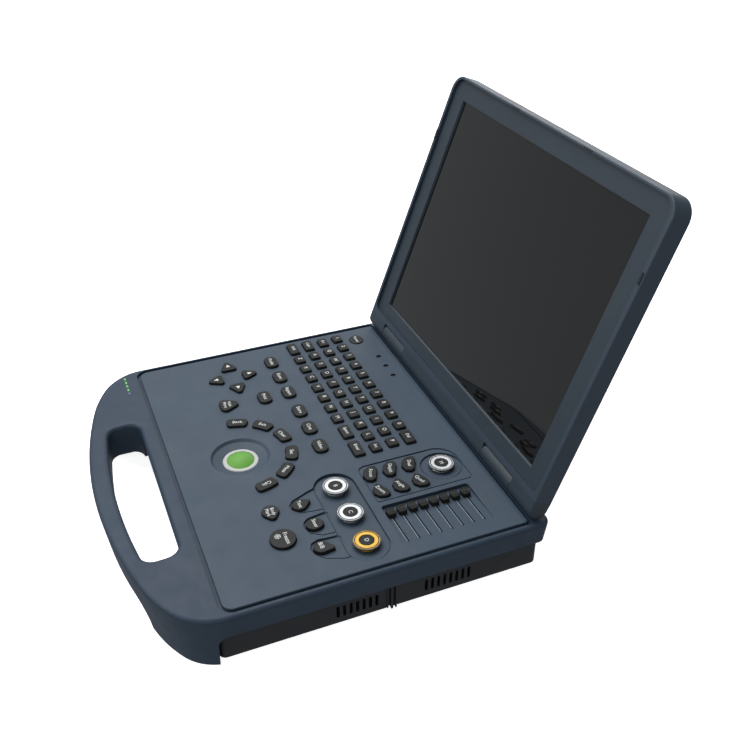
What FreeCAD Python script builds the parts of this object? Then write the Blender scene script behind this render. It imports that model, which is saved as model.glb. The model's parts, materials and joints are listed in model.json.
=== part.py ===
import FreeCAD
import Part
import math
import os

# Portable ultrasound scanner of the laptop kind, standing open on a table.
# Units are millimetres. X runs to the operator's right, Y to the back, Z up.
# The shapes are laid out about the middle of the base's footprint, with the
# table at FLOOR_Z. Every finished piece is then moved by ROW_SHIFT_Y and
# ROW_SHIFT_Z, which puts the origin on the table, under the middle of the open unit.

Vector = FreeCAD.Vector

ROW_SHIFT_Y = -48.95
FLOOR_Z = -4.0
ROW_SHIFT_Z = -FLOOR_Z

# Base envelope: a plan outline of tangent arcs that tapers towards the table.
DECK_Z = 52.0
FRONT_Y = -175.8
BACK_Y = 175.8
FRONT_RADIUS = 450.0
SHOULDER_RADIUS = 130.0
CORNER_RADIUS = 49.2
FRONT_HALF_ANGLE = 16.4
SHOULDER_ANGLE = 33.0
BACK_CORNER_RADIUS = 10.0
TAPER_INSET = 6.5
TOP_EDGE_ROUND = 3.6
FOOT_BOTTOM_Z = -3.4

# Carrying handle, moulded in one with the upper housing.
HANDLE_CREASE_Y = -113.5
HANDLE_FRONT_Z = 49.5
HANDLE_HOLE_X0 = -90.0
HANDLE_HOLE_X1 = 100.0
HANDLE_HOLE_BACK_Y = -120.0
HANDLE_HOLE_SIDE_Y = -149.5
HANDLE_HOLE_FRONT_Y = -157.5
HANDLE_HOLE_CORNER = 12.0
HANDLE_UNDERSIDE_Z = 18.6
HANDLE_ARCH_HALF = 119.0
FOOT_BACK_Y = -111.5
SEAM_Z = 30.0

# Control panel set into the deck.
PANEL_HALF = 175.2
PANEL_FRONT_Y = -103.7
PANEL_BACK_Y = 157.0
POCKET_Z = 49.2
PANEL_UNDER_Z = 46.9
HOUSING_ROOF_Z = 46.5
GROOVE = 3.6

# Lower housing, a tray that hangs below the upper housing's rim.
TRAY_HALF = 174.3
TRAY_FRONT_Y = -111.0
TRAY_BACK_Y = 170.5
TRAY_BOTTOM_Z = -1.5
TRAY_FLOOR_Z = 1.1
TRAY_WALL = 2.6

# Keys.
KEY_PITCH = 19.05
KEY_HALF_X = 6.6
KEY_HALF_Y = 5.4
KEY_BOTTOM_Z = 46.9
KEY_SHOULDER_Z = 52.3
KEY_TOP_Z = 54.7
KEY_GAP = 0.35
ROW_A_Y = 59.0
ROW_B_Y = 76.1
ROW_C_Y = 93.2
ROW_D_Y = 110.0

# Trackball.
BALL_X = -1.0
BALL_Y = -43.0
BALL_Z = 33.2
BALL_RADIUS = 19.0

# Rotary mode knobs with a push button in the middle.
DIAL_CENTRES = [(74.3, 22.0), (111.0, 22.0), (147.7, 22.0), (80.5, 121.4)]
DIAL_RADIUS = 12.0
DIAL_TOP_Z = 55.4

# Gain sliders on a sloping floor.
SLIDER_COUNT = 8
SLIDER_FIRST_Y = 54.8
SLIDER_PITCH = 10.03
SLIDER_FLOOR_X0 = 111.0
SLIDER_FLOOR_X1 = 160.0
SLIDER_FLOOR_Z0 = 48.6
SLIDER_FLOOR_Z1 = 51.6
SLIDER_CAP_X0 = 116.2
SLIDER_CAP_X1 = 126.2
SLIDER_CAP_HEIGHT = 4.6

# Board posts, sockets in the walls, and the fan.
BOARD_POSTS = [(-88, 8), (100, 8), (-88, 142), (100, 142)]
PROBE_PORTS = [(18.0, 64.0), (72.0, 118.0)]
PROBE_Z0 = 6.5
PROBE_Z1 = 25.5
IO_X0 = -48.0
IO_X1 = 48.0
IO_Z0 = 7.0
IO_Z1 = 25.0
FAN_X = 144.0
FAN_Y = 84.0
FAN_WEB_Z = 3.6

# Blind dots in the panel behind the key rows.
DOT_ROW_Y = 140.0
RECESS_TOOL_HEIGHT = 20.0
BORDER_WIDTH = 1.1
BORDER_DEPTH = 0.8

# Hinge between base and display.
HINGE_Y = 164.7
HINGE_Z = 61.8
HINGE_RADIUS = 8.8
PIN_RADIUS = 3.0
PIN_CLEARANCE = 0.05
KNUCKLE_X0 = 89.0
KNUCKLE_X1 = 140.0
NOTCH_X0 = 88.5
NOTCH_X1 = 140.5
BRACKET_SPANS = [(-147.5, -142.5), (-86.5, -81.5), (81.5, 86.5), (142.5, 147.5)]

# Display housing in its own plane: X across, Y up the screen, Z out of the glass.
LID_ANGLE = 69.91
LID_ORIGIN_Y = 169.5
LID_ORIGIN_Z = 88.5
LID_HALF = 177.1
LID_TOP = 249.0
LID_RIM = 4.1
LID_SIDE_BACK = -14.0
LID_BACK = -21.5
LID_CORNER = 16.0
LID_AXIS_V = -26.7
LID_AXIS_W = -4.7
LID_SEAM_V = -17.7
RECESS_HALF = 172.5
RECESS_BOTTOM = -13.5
RECESS_TOP = 246.6
SCREEN_HALF = 152.05
SCREEN_HEIGHT = 228.1
BEZEL_FRONT = 1.0
LCD_BOTTOM_V = -6.0


# ---------------------------------------------------------------- helpers

def box(x0, x1, y0, y1, z0, z1):
    return Part.makeBox(x1 - x0, y1 - y0, z1 - z0, Vector(x0, y0, z0))


def cylinder(x, y, radius, z0, z1):
    return Part.makeCylinder(radius, z1 - z0, Vector(x, y, z0))


def cylinder_x(x0, x1, y, z, radius):
    return Part.makeCylinder(radius, x1 - x0, Vector(x0, y, z), Vector(1, 0, 0))


def corner_radii(radii, count):
    if isinstance(radii, (int, float)):
        return [radii] * count
    return list(radii)


def rounded_wire(points, radii, z):
    """Closed outline through plan corners, each rounded by its own radius."""
    count = len(points)
    radii = corner_radii(radii, count)
    corners = []
    for i in range(count):
        corner = Vector(points[i][0], points[i][1], z)
        before = Vector(points[i - 1][0], points[i - 1][1], z)
        after = Vector(points[(i + 1) % count][0], points[(i + 1) % count][1], z)
        to_before = (before - corner).normalize()
        to_after = (after - corner).normalize()
        half = to_before.getAngle(to_after) / 2.0
        radius = radii[i]
        setback = radius / math.tan(half)
        middle = corner + (to_before + to_after).normalize() * (radius / math.sin(half) - radius)
        corners.append((corner + to_before * setback, middle, corner + to_after * setback, radius))
    edges = []
    for i in range(count):
        start, middle, end, radius = corners[i]
        if radius > 0:
            edges.append(Part.Arc(start, middle, end).toShape())
        following = corners[(i + 1) % count][0]
        if end.distanceToPoint(following) > 1e-4:
            edges.append(Part.LineSegment(end, following).toShape())
    return Part.Wire(edges)


def rectangle_points(x0, x1, y0, y1):
    return [(x0, y0), (x1, y0), (x1, y1), (x0, y1)]


def prism(wire, height):
    return Part.Face(wire).extrude(Vector(0, 0, height))


def rounded_box(x0, x1, y0, y1, z0, z1, radii):
    return prism(rounded_wire(rectangle_points(x0, x1, y0, y1), radii, z0), z1 - z0)


def ellipse_wire(x, y, half_x, half_y, z):
    curve = Part.Ellipse(Vector(x, y, z), half_x, half_y)
    return Part.Wire([curve.toShape()])


def tear_wire(x0, y0, r0, x1, y1, r1, z):
    """Outline of two circles joined by their outer tangents."""
    distance = math.hypot(x1 - x0, y1 - y0)
    heading = math.atan2(y1 - y0, x1 - x0)
    spread = math.acos((r0 - r1) / distance)

    def on_circle(x, y, radius, angle):
        return Vector(x + radius * math.cos(angle), y + radius * math.sin(angle), z)

    a0 = on_circle(x0, y0, r0, heading + spread)
    b0 = on_circle(x0, y0, r0, heading + math.pi)
    c0 = on_circle(x0, y0, r0, heading - spread)
    a1 = on_circle(x1, y1, r1, heading - spread)
    b1 = on_circle(x1, y1, r1, heading)
    c1 = on_circle(x1, y1, r1, heading + spread)
    edges = [
        Part.Arc(a0, b0, c0).toShape(),
        Part.LineSegment(c0, a1).toShape(),
        Part.Arc(a1, b1, c1).toShape(),
        Part.LineSegment(c1, a0).toShape(),
    ]
    return Part.Wire(edges)


def edges_where(shape, test):
    """Edges whose ends and middle all satisfy the test."""
    found = []
    for edge in shape.Edges:
        first, last = edge.ParameterRange
        samples = [edge.valueAt(first), edge.valueAt((first + last) / 2.0), edge.valueAt(last)]
        if all(test(point) for point in samples):
            found.append(edge)
    return found


def round_edges(shape, radius, test):
    return shape.makeFillet(radius, edges_where(shape, test))


def slab_below(x0, z0, x1, z1):
    """Everything under a floor that rises along X from (x0, z0) to (x1, z1)."""
    slope = (z1 - z0) / (x1 - x0)
    left = x0 - 60.0
    right = x1 + 60.0
    corners = [
        Vector(left, -200, 20),
        Vector(right, -200, 20),
        Vector(right, -200, z1 + slope * 60.0),
        Vector(left, -200, z0 - slope * 60.0),
    ]
    return Part.Face(Part.makePolygon(corners + [corners[0]])).extrude(Vector(0, 400, 0))


def sloped_recess(wire, x0, z0, x1, z1):
    """Cutting tool with the plan of the wire and a floor that rises along X."""
    return prism(wire, RECESS_TOOL_HEIGHT).cut(slab_below(x0, z0, x1, z1))


def recess_with_border(wire, x0, z0, x1, z1):
    """Sloped recess and the fine groove that runs round the edge of its floor."""
    inner = wire.makeOffset2D(-BORDER_WIDTH)
    groove = sloped_recess(wire, x0, z0 - BORDER_DEPTH, x1, z1 - BORDER_DEPTH)
    return [sloped_recess(wire, x0, z0, x1, z1), groove.cut(prism(inner, RECESS_TOOL_HEIGHT))]


def turned(profile, x, y):
    """Solid of revolution about Z from (radius, height) corners."""
    points = [Vector(radius, 0, z) for radius, z in profile]
    face = Part.Face(Part.makePolygon(points + [points[0]]))
    solid = face.revolve(Vector(0, 0, 0), Vector(0, 0, 1), 360)
    solid.translate(Vector(x, y, 0))
    return solid


def place_lid(shape):
    """Moves a shape from the display's own plane to its place on the open unit."""
    shape = shape.copy()
    shape.rotate(Vector(0, 0, 0), Vector(1, 0, 0), LID_ANGLE)
    shape.translate(Vector(0, LID_ORIGIN_Y, LID_ORIGIN_Z))
    return shape


# ---------------------------------------------------------------- base shell

def body_outline(inset, z):
    """Plan outline of the base, moved inwards by the inset."""
    front = math.radians(FRONT_HALF_ANGLE)
    shoulder = math.radians(SHOULDER_ANGLE)
    front_y = FRONT_Y + FRONT_RADIUS
    step = FRONT_RADIUS - SHOULDER_RADIUS
    shoulder_x = step * math.sin(front)
    shoulder_y = front_y - step * math.cos(front)
    step = SHOULDER_RADIUS - CORNER_RADIUS
    corner_x = shoulder_x + step * math.sin(shoulder)
    corner_y = shoulder_y - step * math.cos(shoulder)
    side_x = corner_x + CORNER_RADIUS
    back_x = side_x - BACK_CORNER_RADIUS
    back_y = BACK_Y - BACK_CORNER_RADIUS
    back_radius = BACK_CORNER_RADIUS - inset

    def at(side, x, y, radius, angle):
        return Vector(side * (x + radius * math.sin(angle)), y - radius * math.cos(angle), z)

    def arc(side, x, y, radius, start, end):
        radius = radius - inset
        first = at(side, x, y, radius, start)
        middle = at(side, x, y, radius, (start + end) / 2.0)
        last = at(side, x, y, radius, end)
        return Part.Arc(first, middle, last).toShape()

    half = math.pi / 2.0
    right_foot = Vector(side_x - inset, corner_y, z)
    right_back = Vector(side_x - inset, back_y, z)
    back_right = Vector(back_x, back_y + back_radius, z)
    back_left = Vector(-back_x, back_y + back_radius, z)
    left_back = Vector(-side_x + inset, back_y, z)
    left_foot = Vector(-side_x + inset, corner_y, z)
    return Part.Wire([
        arc(1, 0.0, front_y, FRONT_RADIUS, -front, front),
        arc(1, shoulder_x, shoulder_y, SHOULDER_RADIUS, front, shoulder),
        arc(1, corner_x, corner_y, CORNER_RADIUS, shoulder, half),
        Part.LineSegment(right_foot, right_back).toShape(),
        arc(1, back_x, back_y, BACK_CORNER_RADIUS, half, math.pi),
        Part.LineSegment(back_right, back_left).toShape(),
        arc(-1, back_x, back_y, BACK_CORNER_RADIUS, math.pi, half),
        Part.LineSegment(left_back, left_foot).toShape(),
        arc(-1, corner_x, corner_y, CORNER_RADIUS, half, shoulder),
        arc(-1, shoulder_x, shoulder_y, SHOULDER_RADIUS, shoulder, front),
    ])


def handle_slope_cut():
    """Wedge above the handle's gently falling top."""
    drop = (DECK_Z - HANDLE_FRONT_Z) / (HANDLE_CREASE_Y - FRONT_Y)
    far_y = FRONT_Y - 10.0
    far_z = DECK_Z - drop * (HANDLE_CREASE_Y - far_y)
    corners = [
        Vector(-200, HANDLE_CREASE_Y, DECK_Z),
        Vector(-200, far_y, far_z),
        Vector(-200, far_y, DECK_Z + 5),
        Vector(-200, HANDLE_CREASE_Y, DECK_Z + 5),
    ]
    return Part.Face(Part.makePolygon(corners + [corners[0]])).extrude(Vector(400, 0, 0))


def body_envelope():
    solid = Part.makeLoft([body_outline(TAPER_INSET, FLOOR_Z), body_outline(0.0, DECK_Z)], True, True)
    solid = solid.cut(handle_slope_cut())

    def on_top_rim(point):
        edge_of_side = abs(point.x) > 170 or point.y < -118 or point.y > 165
        return point.z > 49.0 and edge_of_side

    return round_edges(solid, TOP_EDGE_ROUND, on_top_rim)


def handle_hole():
    z0 = -5.0
    back_left = Vector(HANDLE_HOLE_X0, HANDLE_HOLE_BACK_Y, z0)
    back_right = Vector(HANDLE_HOLE_X1, HANDLE_HOLE_BACK_Y, z0)
    front_right = Vector(HANDLE_HOLE_X1, HANDLE_HOLE_SIDE_Y, z0)
    front_left = Vector(HANDLE_HOLE_X0, HANDLE_HOLE_SIDE_Y, z0)
    front_middle = Vector((HANDLE_HOLE_X0 + HANDLE_HOLE_X1) / 2.0, HANDLE_HOLE_FRONT_Y, z0)
    wire = Part.Wire([
        Part.LineSegment(back_left, back_right).toShape(),
        Part.LineSegment(back_right, front_right).toShape(),
        Part.Arc(front_right, front_middle, front_left).toShape(),
        Part.LineSegment(front_left, back_left).toShape(),
    ])
    solid = prism(wire, 70.0)
    vertical = [edge for edge in solid.Edges if abs(edge.BoundBox.ZLength - 70.0) < 0.01]
    return solid.makeFillet(HANDLE_HOLE_CORNER, vertical)


def under_handle():
    """Tunnel below the handle, between the two front feet."""
    tunnel = box(-HANDLE_ARCH_HALF, HANDLE_ARCH_HALF, -185, -90, -10, HANDLE_UNDERSIDE_Z)

    def crown(point):
        return abs(point.z - HANDLE_UNDERSIDE_Z) < 0.01 and abs(abs(point.x) - HANDLE_ARCH_HALF) < 0.01

    return round_edges(tunnel, 18.5, crown)


def behind_feet():
    """Space under the rim behind the front feet, with an arch where they meet."""
    space = box(-200, 200, FOOT_BACK_Y, 200, -5, SEAM_Z)

    def inner_corner(point):
        return abs(point.y - FOOT_BACK_Y) < 0.01 and abs(point.z - SEAM_Z) < 0.01

    return round_edges(space, 10.0, inner_corner)


def finger_slope():
    """Under-cut behind the handle hole that gives room for the fingers."""
    left = HANDLE_HOLE_X0 + HANDLE_HOLE_CORNER
    right = HANDLE_HOLE_X1 - HANDLE_HOLE_CORNER
    corners = [(-121.0, 43.6), (-118.3, 43.6), (-106.3, 29.9), (-106.3, 18.0), (-121.0, 18.0)]
    points = [Vector(left, y, z) for y, z in corners]
    face = Part.Face(Part.makePolygon(points + [points[0]]))
    return face.extrude(Vector(right - left, 0, 0))


def panel_pocket_points(grow):
    return rectangle_points(
        -PANEL_HALF - grow, PANEL_HALF + grow, PANEL_FRONT_Y - grow, PANEL_BACK_Y + min(grow, 1.2)
    )


SCREW_PLACES = [(-163, 160), (163, 160), (-60, 160), (60, 160), (-163, -97), (163, -97)]
LENS_PLACES = [(-170.0, -119.2), (-163.0, -119.2), (-156.0, -119.2), (-149.0, -119.2), (-142.5, -119.2)]
FRONT_FEET = [(-146, -127), (146, -127)]
FRONT_FOOT_TOP_Z = -1.4
SCREW_SEAT_Z = 1.9
BACK_FEET = [(-150, 150), (150, 150)]


def lens_box(place, grow, z0, z1):
    x, y = place
    return rounded_box(x - 2.1 - grow, x + 2.1 + grow, y - 1.0 - grow, y + 1.0 + grow, z0, z1, 0.9)


def make_upper_housing():
    shell = body_envelope()
    shell = shell.cut(handle_hole())

    def on_hole_rim(point):
        inside_x = HANDLE_HOLE_X0 - 1 < point.x < HANDLE_HOLE_X1 + 1
        inside_y = HANDLE_HOLE_FRONT_Y - 1 < point.y < HANDLE_HOLE_BACK_Y + 1
        return inside_x and inside_y and point.z > 49.0

    shell = round_edges(shell, 4.0, on_hole_rim)
    tray_space = box(-TRAY_HALF - 0.2, TRAY_HALF + 0.2, TRAY_FRONT_Y - 0.2, 171.0, -5, SEAM_Z)
    cavity = rounded_box(-171.5, 171.5, -101, 168, SEAM_Z - 1, HOUSING_ROOF_Z, 6.0)
    pocket = prism(rounded_wire(panel_pocket_points(GROOVE), [12.0, 12.0, 3.0, 3.0], POCKET_Z), 10.0)
    opening = rounded_box(-170.5, 170.5, -90, 145, 40, 60, 4.0)
    shell = shell.cut([
        under_handle(), behind_feet(), tray_space, finger_slope(), pocket,
        box(-200, 200, -200, 200, -6, FOOT_BOTTOM_Z),
    ])
    shell = shell.cut([cavity, opening])
    pockets = [lens_box(place, 0.1, 50.4, 60.0) for place in LENS_PLACES]
    pockets += [cylinder(x, y, 9.2, -6, FRONT_FOOT_TOP_Z) for x, y in FRONT_FEET]
    shell = shell.cut(pockets)
    bosses = [cylinder(x, y, 4.6, SEAM_Z, HOUSING_ROOF_Z + 0.5) for x, y in SCREW_PLACES]
    pilots = [cylinder(x, y, 1.6, SEAM_Z - 1, 42.0) for x, y in SCREW_PLACES]
    return shell.fuse(bosses).cut(pilots)


def make_lower_housing():
    solid = rounded_box(-TRAY_HALF, TRAY_HALF, TRAY_FRONT_Y, TRAY_BACK_Y, TRAY_BOTTOM_Z, SEAM_Z, 6.0)
    solid = solid.makeChamfer(2.0, edges_where(solid, lambda p: abs(p.z - TRAY_BOTTOM_Z) < 0.01))
    wall = TRAY_WALL
    main = rounded_box(-TRAY_HALF + wall, TRAY_HALF - wall, -84, TRAY_BACK_Y - wall,
                       TRAY_FLOOR_Z, 40, 3.5)
    right = box(110, TRAY_HALF - wall, -108.4, -80, TRAY_FLOOR_Z, 40)
    left = box(-TRAY_HALF + wall, -100, -108.4, -80, TRAY_FLOOR_Z, 40)
    corners = [(-112.0, 30.1), (-106.3, 30.1), (-83.8, -5.0), (-112.0, -5.0)]
    points = [Vector(-96.0, y, z) for y, z in corners]
    slope = Part.Face(Part.makePolygon(points + [points[0]])).extrude(Vector(202, 0, 0))
    solid = solid.cut([main, right, left, slope])
    bosses = [cylinder(x, y, 4.6, TRAY_BOTTOM_Z + 0.5, SEAM_Z) for x, y in SCREW_PLACES]
    posts = [cylinder(x, y, 3.0, TRAY_FLOOR_Z - 0.5, 12.0) for x, y in BOARD_POSTS]
    rib = box(TRAY_HALF - 2.6, TRAY_HALF + 0.8, 29.0, 37.6, TRAY_BOTTOM_Z, SEAM_Z)
    rib = rib.fuse(box(TRAY_HALF - 4.6, TRAY_HALF - 2.0, 29.0, 37.6, TRAY_FLOOR_Z - 0.5, SEAM_Z))
    solid = solid.fuse(bosses + posts + [rib])
    heads = [cylinder(x, y, 3.4, -5, SCREW_SEAT_Z) for x, y in SCREW_PLACES]
    shanks = [cylinder(x, y, 1.9, -5, 40) for x, y in SCREW_PLACES]
    vents = [vent_slot(-13.5 + 5.6 * i) for i in range(7)]
    vents += [vent_slot(64.5 + 5.6 * i) for i in range(8)]
    notches = [box(TRAY_HALF - 1.6, TRAY_HALF + 2, y - 1.1, y + 1.1, -5, SEAM_Z) for y in (31.2, 35.4)]
    notches.append(box(TRAY_HALF - 3.0, TRAY_HALF + 2, 28.6, 32.6, -5, 0.6))
    ports = [box(-180, -TRAY_HALF + 4, y0, y1, PROBE_Z0, PROBE_Z1) for y0, y1 in PROBE_PORTS]
    rear = box(IO_X0, IO_X1, 160, 175, IO_Z0, IO_Z1)
    return solid.cut(heads + shanks + vents + notches + [rear] + ports)


def vent_slot(y):
    return rounded_box_x(TRAY_HALF - 5, TRAY_HALF + 5, y - 1.4, y + 1.4, 6.5, 19.0)


def rounded_box_x(x0, x1, y0, y1, z0, z1):
    """Slot through a side wall with rounded ends."""
    radius = (y1 - y0) / 2.0
    middle = (y0 + y1) / 2.0
    body = box(x0, x1, y0, y1, z0 + radius, z1 - radius)
    low = cylinder_x(x0, x1, middle, z0 + radius, radius)
    high = cylinder_x(x0, x1, middle, z1 - radius, radius)
    return body.fuse([low, high])


def make_rubber_feet():
    front = [cylinder(x, y, 9.0, FLOOR_Z, FRONT_FOOT_TOP_Z) for x, y in FRONT_FEET]
    back = [cylinder(x, y, 9.0, FLOOR_Z, TRAY_BOTTOM_Z) for x, y in BACK_FEET]
    return Part.makeCompound(front + back)


def make_housing_screws():
    screws = []
    for x, y in SCREW_PLACES:
        head = cylinder(x, y, 3.2, SCREW_SEAT_Z - 2.8, SCREW_SEAT_Z)
        low, high = SCREW_SEAT_Z - 4.0, SCREW_SEAT_Z - 1.6
        head = head.cut(rounded_box(x - 1.6, x + 1.6, y - 0.5, y + 0.5, low, high, 0.2))
        head = head.cut(rounded_box(x - 0.5, x + 0.5, y - 1.6, y + 1.6, low, high, 0.2))
        screws.append(head.fuse(cylinder(x, y, 1.5, SCREW_SEAT_Z, 40.0)))
    return Part.makeCompound(screws)


def make_indicator_lenses():
    return Part.makeCompound([lens_box(place, 0.0, 50.4, 52.0) for place in LENS_PLACES])


# ---------------------------------------------------------------- inside

def make_battery_pack():
    pack = rounded_box(-165, -60, -78, -10, TRAY_FLOOR_Z, 24.0, 4.0)
    return round_edges(pack, 1.5, lambda p: abs(p.z - 24.0) < 0.01)


def make_main_board():
    board = box(-95, 108, 0, 150, 12.0, 13.6)
    chips = [
        box(-20, 20, 60, 100, 13.6, 18.0),
        box(35, 60, 70, 95, 13.6, 16.0),
        box(-70, -45, 30, 55, 13.6, 16.0),
        box(-60, 50, 120, 128, 13.6, 20.0),
        box(40, 90, 20, 50, 13.6, 17.0),
    ]
    return board.fuse(chips)


def make_front_end_module():
    module = rounded_box(-146, -100, 4, 146, TRAY_FLOOR_Z, 26.0, 2.0)
    grooves = [box(-147, -99, 14 + 12 * i, 20 + 12 * i, 22, 27) for i in range(11)]
    return module.cut(grooves)


def make_power_module():
    can = rounded_box(35, 165, -78, -25, TRAY_FLOOR_Z, 26.0, 2.0)
    holes = [cylinder(50 + 10 * i, -51, 2.5, 24.0, 30.0) for i in range(11)]
    return can.cut(holes)


def make_heat_sink():
    plate = box(122, 168, -14, 22, TRAY_FLOOR_Z, 4.0)
    fins = [box(124, 166, -13.5 + 4.0 * i, -12.0 + 4.0 * i, 4.0, 21.0) for i in range(9)]
    return plate.fuse(fins)


def make_fan_frame():
    frame = rounded_box(FAN_X - 24, FAN_X + 24, FAN_Y - 24, FAN_Y + 24, TRAY_FLOOR_Z, 19.0, 4.0)
    frame = frame.cut(cylinder(FAN_X, FAN_Y, 22.0, FAN_WEB_Z, 20.0))
    windows = [cylinder(FAN_X + 14 * dx, FAN_Y + 14 * dy, 5.5, 0.0, FAN_WEB_Z + 1)
               for dx, dy in [(0.71, 0.71), (-0.71, 0.71), (-0.71, -0.71), (0.71, -0.71)]]
    return frame.cut(windows).fuse(cylinder(FAN_X, FAN_Y, 1.5, FAN_WEB_Z, 16.0))


def make_fan_rotor():
    hub = cylinder(FAN_X, FAN_Y, 8.5, 7.2, 17.5)
    rotor = hub
    for i in range(7):
        blade = box(7.5, 20.5, -0.7, 0.7, 7.6, 17.0)
        blade.rotate(Vector(0, 0, 12.3), Vector(1, 0, 0), 28)
        blade.rotate(Vector(0, 0, 0), Vector(0, 0, 1), 360.0 / 7 * i)
        blade.translate(Vector(FAN_X, FAN_Y, 0))
        rotor = rotor.fuse(blade)
    return rotor.cut(cylinder(FAN_X, FAN_Y, 1.56, 5.0, 16.3))


def make_keypad_board():
    board = box(-167, 167, -84, 143, 43.2, 45.0)
    holes = [cylinder(BALL_X, BALL_Y, 26, 40, 50)]
    holes += [cylinder(x, y, 9.5, 40, 50) for x, y in DIAL_CENTRES]
    holes.append(box(111, 165, 50, 130, 40, 50))
    return board.cut(holes)


def make_slider_tracks():
    tracks = []
    for i in range(SLIDER_COUNT):
        y = SLIDER_FIRST_Y + SLIDER_PITCH * i
        track = box(114, 162, y - 3.3, y + 3.3, 34.0, PANEL_UNDER_Z)
        track = track.cut(box(116.5, 160.5, y - 0.9, y + 0.9, 38.0, 50.0))
        tracks.append(track)
    return Part.makeCompound(tracks)


def make_encoder_bodies():
    bodies = []
    for x, y in DIAL_CENTRES:
        can = cylinder(x, y, 8.5, 34.0, PANEL_UNDER_Z)
        shaft = cylinder(x, y, 3.0, PANEL_UNDER_Z, 52.0)
        bore = cylinder(x, y, 1.8, 46.0, 60.0)
        bodies.append(can.fuse(shaft).cut(bore))
    return Part.makeCompound(bodies)


def make_probe_connectors():
    """Two sockets in the left wall that the scanning probes plug into."""
    sockets = []
    for y0, y1 in PROBE_PORTS:
        shell = box(-175.6, -150, y0 + 0.3, y1 - 0.3, PROBE_Z0 + 0.3, PROBE_Z1 - 0.3)
        mouth = box(-180, -156, y0 + 4, y1 - 4, PROBE_Z0 + 4, PROBE_Z1 - 4)
        sockets.append(shell.cut(mouth))
    return Part.makeCompound(sockets)


def make_io_connectors():
    """Connector block in the back wall: power inlet, network and two data sockets."""
    block = box(IO_X0 + 0.3, IO_X1 - 0.3, 150, 170.9, IO_Z0 + 0.3, IO_Z1 - 0.3)
    sockets = [
        box(14, 27.5, 158, 175, 10.5, 21.5),
        box(-8, 6, 158, 175, 12.5, 18.5),
        box(-30, -16, 158, 175, 12.5, 18.5),
    ]
    inlet = Part.makeCylinder(4.6, 20, Vector(38, 156, 16), Vector(0, 1, 0))
    return block.cut(sockets + [inlet])


# ---------------------------------------------------------------- keys

def tapered_key(x0, x1, y0, y1):
    """Key with a straight shank below the deck and a cap that narrows upwards."""
    levels = [(KEY_BOTTOM_Z, 0.0, 2.0), (KEY_SHOULDER_Z, 0.0, 2.0),
              (KEY_TOP_Z - 0.45, 0.4, 1.7), (KEY_TOP_Z, 0.85, 1.3)]
    wires = []
    for z, inset, radius in levels:
        points = rectangle_points(x0 + inset, x1 - inset, y0 + inset, y1 - inset)
        wires.append(rounded_wire(points, radius, z))
    return Part.makeLoft(wires, True, True)


def outlined_key(wire, top=KEY_TOP_Z, edge=0.8):
    """Key of any plan outline with a rounded top edge."""
    solid = prism(wire, top - KEY_BOTTOM_Z)
    return round_edges(solid, edge, lambda p: abs(p.z - top) < 0.01)


def key_hole(wire):
    return prism(wire.makeOffset2D(KEY_GAP), 12.0)


def regular_keys(first_x, count):
    spans = []
    for i in range(count):
        x = first_x + KEY_PITCH * i
        spans.append((x - KEY_HALF_X, x + KEY_HALF_X))
    return spans


ROW_A = [(-168.3, -147.3)] + regular_keys(-135.2, 7) + [(-7.5, 12.5), (19.0, 41.5)]
ROW_B = [(-168.0, -149.0)] + regular_keys(-136.7, 10)
ROW_C = [(-166.0, -151.0)] + regular_keys(-138.0, 10)
ROW_D = regular_keys(-160.2, 10) + [(22.0, 41.7)]
ROWS = {"key_row_a": (ROW_A_Y, ROW_A), "key_row_b": (ROW_B_Y, ROW_B),
        "key_row_c": (ROW_C_Y, ROW_C), "key_row_d": (ROW_D_Y, ROW_D)}


def make_key_row(name):
    y, spans = ROWS[name]
    keys = [tapered_key(x0, x1, y - KEY_HALF_Y, y + KEY_HALF_Y) for x0, x1 in spans]
    return Part.makeCompound(keys)


def row_holes():
    holes = []
    for y, spans in ROWS.values():
        for x0, x1 in spans:
            holes.append(rounded_box(x0 - KEY_GAP, x1 + KEY_GAP, y - KEY_HALF_Y - KEY_GAP,
                                     y + KEY_HALF_Y + KEY_GAP, 40, 60, 2.3))
    return holes


PRESET_PLACES = [(-141.5, 29.2), (-111.5, 29.2), (-81.8, 29.2), (-46.8, 29.2),
                 (-17.0, 29.2), (13.5, 29.2), (-81.8, 4.2)]


def preset_wires():
    wires = []
    for x, y in PRESET_PLACES:
        points = rectangle_points(x - 9.75, x + 9.75, y - 6.5, y + 6.5)
        wires.append(rounded_wire(points, 5.4, KEY_BOTTOM_Z))
    return wires


def function_wires():
    """Menu, measuring and annotation keys of rounded special outlines."""
    menu = [(-94.7, -41.0), (-69.7, -41.0), (-82.2, -17.0)]
    return [
        rounded_wire(menu, 5.0, KEY_BOTTOM_Z),
        tear_wire(85.0, -14.5, 6.7, 82.9, -5.95, 1.8, KEY_BOTTOM_Z),
        tear_wire(112.3, -11.0, 6.9, 112.4, -8.4, 6.0, KEY_BOTTOM_Z),
        tear_wire(140.0, -14.0, 6.8, 143.8, -5.45, 1.8, KEY_BOTTOM_Z),
        tear_wire(83.7, -40.0, 7.5, 90.4, -40.0, 3.4, KEY_BOTTOM_Z),
    ]


PADDLE_LEFT = [(60.6, 64.4), (65.8, 65.0), (77.4, 59.4), (79.0, 55.6),
               (76.9, 51.2), (70.0, 49.7), (62.9, 53.0), (60.0, 58.0)]
PADDLE_RIGHT = [(83.6, 56.0), (86.0, 59.4), (95.8, 63.6), (100.7, 63.6), (102.6, 59.7),
                (101.2, 53.6), (96.4, 50.0), (89.8, 50.8)]
PADDLE_PITCH = 18.7


def paddle_wires():
    wires = []
    for i in range(3):
        for outline in (PADDLE_LEFT, PADDLE_RIGHT):
            points = [(x, y + PADDLE_PITCH * i) for x, y in outline]
            wires.append(rounded_wire(points, 1.3, KEY_BOTTOM_Z))
    return wires


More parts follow.
